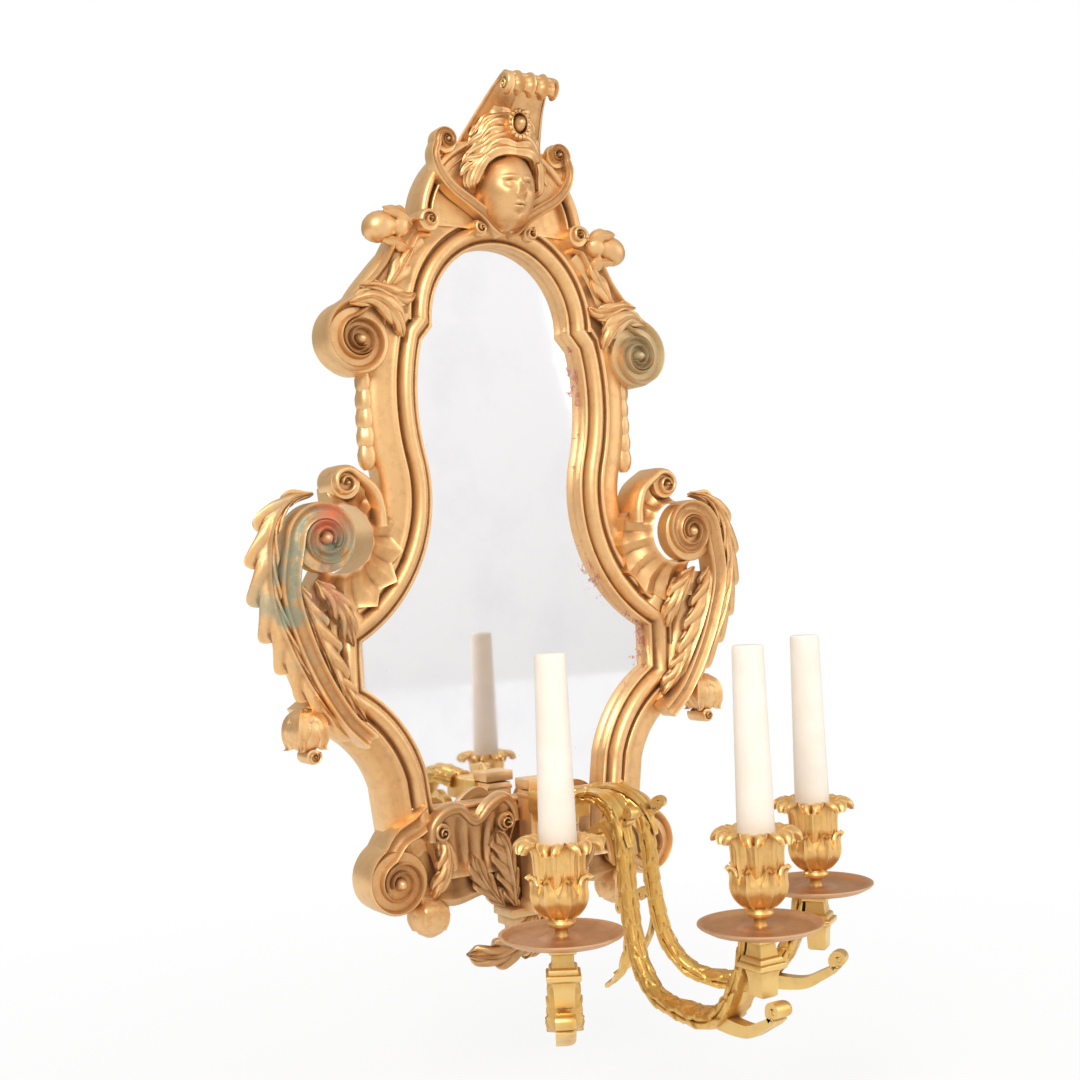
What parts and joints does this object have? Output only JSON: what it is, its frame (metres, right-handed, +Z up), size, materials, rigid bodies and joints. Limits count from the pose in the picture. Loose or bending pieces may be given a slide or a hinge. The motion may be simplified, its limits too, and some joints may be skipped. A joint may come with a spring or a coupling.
{
  "type": "girandole mirror",
  "caption": "Wall mirror in a scrolled gilt cast frame with a mask crest, leaf wings and volute feet, and curved arms at its base that carry candle cups over drip pans.",
  "frame": {"origin": "centre of the hanging hole, on the hanger plate's back face", "axes": "+Y towards the wall along the hanging hole, +Z up, +X to the right of someone who faces the mirror"},
  "size_m": [0.3844, 0.298, 0.6043],
  "materials": {
    "frame_gilt": "aged matt gilding over cast brass",
    "arm_gilt": "brighter burnished gilding",
    "cup_gilt": "gilding dulled by dust",
    "pan_copper": "matt brown copper tone",
    "mirror_glass": "old silvering with foxed edges",
    "board": "plain stained softwood",
    "steel": "plain",
    "button_brass": "plain sheet",
    "felt": "dense felt",
    "wax": "smooth candle wax"
  },
  "bodies": {
    "frame": {"apron": "frame_gilt", "apron_leaf_left": "frame_gilt", "apron_leaf_right": "frame_gilt", "arm_centre": "arm_gilt", "arm_hub": "arm_gilt", "arm_left": "arm_gilt", "arm_post": "arm_gilt", "arm_right": "arm_gilt", "backboard": "board", "base_leaf_left": "frame_gilt", "base_leaf_right": "frame_gilt", "button_screw_lower_left": "steel", "button_screw_lower_right": "steel", "button_screw_upper_left": "steel", "button_screw_upper_right": "steel", "c_band_left": "frame_gilt", "c_band_right": "frame_gilt", "cabochon": "frame_gilt", "candle_cup_centre": "cup_gilt", "candle_cup_left": "cup_gilt", "candle_cup_right": "cup_gilt", "collar_strap": "frame_gilt", "crest_arch": "frame_gilt", "crest_panel": "frame_gilt", "crest_shell": "frame_gilt", "drip_pan_centre": "pan_copper", "drip_pan_left": "pan_copper", "drip_pan_right": "pan_copper", "drop_leaf": "frame_gilt", "foot_ball_left": "frame_gilt", "foot_ball_right": "frame_gilt", "foot_volute_left": "frame_gilt", "foot_volute_right": "frame_gilt", "frame_casting": "frame_gilt", "hanger_plate": "steel", "hanger_screw_left": "steel", "hanger_screw_right": "steel", "husk_drop_left": "frame_gilt", "husk_drop_right": "frame_gilt", "low_bud_left": "frame_gilt", "low_bud_right": "frame_gilt", "mask_head": "frame_gilt", "mirror_plate": "mirror_glass", "shoulder_scroll_left": "frame_gilt", "shoulder_scroll_right": "frame_gilt", "sight_moulding": "frame_gilt", "top_bud_left": "frame_gilt", "top_bud_right": "frame_gilt", "wall_pad_left": "felt", "wall_pad_right": "felt", "wing_scroll_left": "frame_gilt", "wing_scroll_right": "frame_gilt"},
    "button_upper_left": {"turn_button_upper_left": "button_brass"},
    "button_lower_left": {"turn_button_lower_left": "button_brass"},
    "button_upper_right": {"turn_button_upper_right": "button_brass"},
    "button_lower_right": {"turn_button_lower_right": "button_brass"},
    "candle_body_left": {"candle_left": "wax"},
    "candle_body_centre": {"candle_centre": "wax"},
    "candle_body_right": {"candle_right": "wax"}
  },
  "joints": [
    {"name": "button_upper_left_turn", "type": "hinge", "parent": "frame", "child": "button_upper_left", "pos_m": [-0.081, -0.001, -0.134], "axis": [0, 1, 0], "range_deg": [-90, 90]},
    {"name": "button_lower_left_turn", "type": "hinge", "parent": "frame", "child": "button_lower_left", "pos_m": [-0.129, -0.001, -0.3025], "axis": [0, 1, 0], "range_deg": [-90, 90]},
    {"name": "button_upper_right_turn", "type": "hinge", "parent": "frame", "child": "button_upper_right", "pos_m": [0.081, -0.001, -0.134], "axis": [0, 1, 0], "range_deg": [-90, 90]},
    {"name": "button_lower_right_turn", "type": "hinge", "parent": "frame", "child": "button_lower_right", "pos_m": [0.129, -0.001, -0.3025], "axis": [0, 1, 0], "range_deg": [-90, 90]},
    {"name": "candle_left_lift", "type": "slide", "parent": "frame", "child": "candle_body_left", "axis": [0, 0, 1], "range_m": [0, 0.12]},
    {"name": "candle_centre_lift", "type": "slide", "parent": "frame", "child": "candle_body_centre", "axis": [0, 0, 1], "range_m": [0, 0.12]},
    {"name": "candle_right_lift", "type": "slide", "parent": "frame", "child": "candle_body_right", "axis": [0, 0, 1], "range_m": [0, 0.12]}
  ]
}
